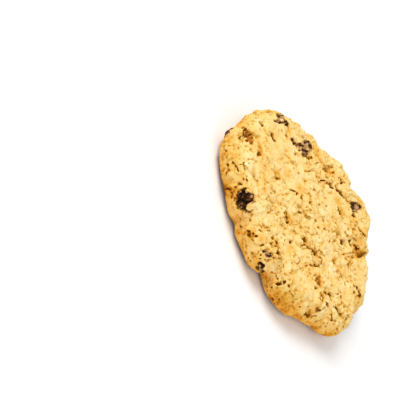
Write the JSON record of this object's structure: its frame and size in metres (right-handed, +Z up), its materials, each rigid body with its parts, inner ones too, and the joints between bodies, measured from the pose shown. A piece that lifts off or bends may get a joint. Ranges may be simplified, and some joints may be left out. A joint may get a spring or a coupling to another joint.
{
  "type": "oat and raisin biscuit",
  "caption": "Round baked oat biscuit with a craggy, cracked golden top, a rounded rim, a flat underside and dark raisins set in the dough.",
  "frame": {"origin": "on the flat underside, below the middle of the biscuit's bounding box", "axes": "+Z up out of the craggy top, +X along the longest way across the biscuit, +Y towards the rim that is far from the viewer"},
  "size_m": [0.0824, 0.0782, 0.0138],
  "materials": {
    "dough": "dry, rough baked crumb, golden tan with browner edges",
    "raisin": "dark wrinkled skin with a soft sheen",
    "sultana": "amber-brown wrinkled skin with a soft sheen"
  },
  "bodies": {
    "root": {"dough": "dough", "raisin_1": "raisin", "raisin_2": "raisin", "raisin_3": "raisin", "raisin_4": "raisin", "raisin_5": "sultana", "raisin_6": "raisin", "raisin_7": "raisin", "raisin_8": "sultana", "raisin_9": "raisin", "raisin_10": "raisin", "raisin_11": "raisin", "raisin_12": "raisin", "raisin_13": "raisin", "raisin_14": "raisin", "raisin_15": "raisin"}
  },
  "joints": []
}
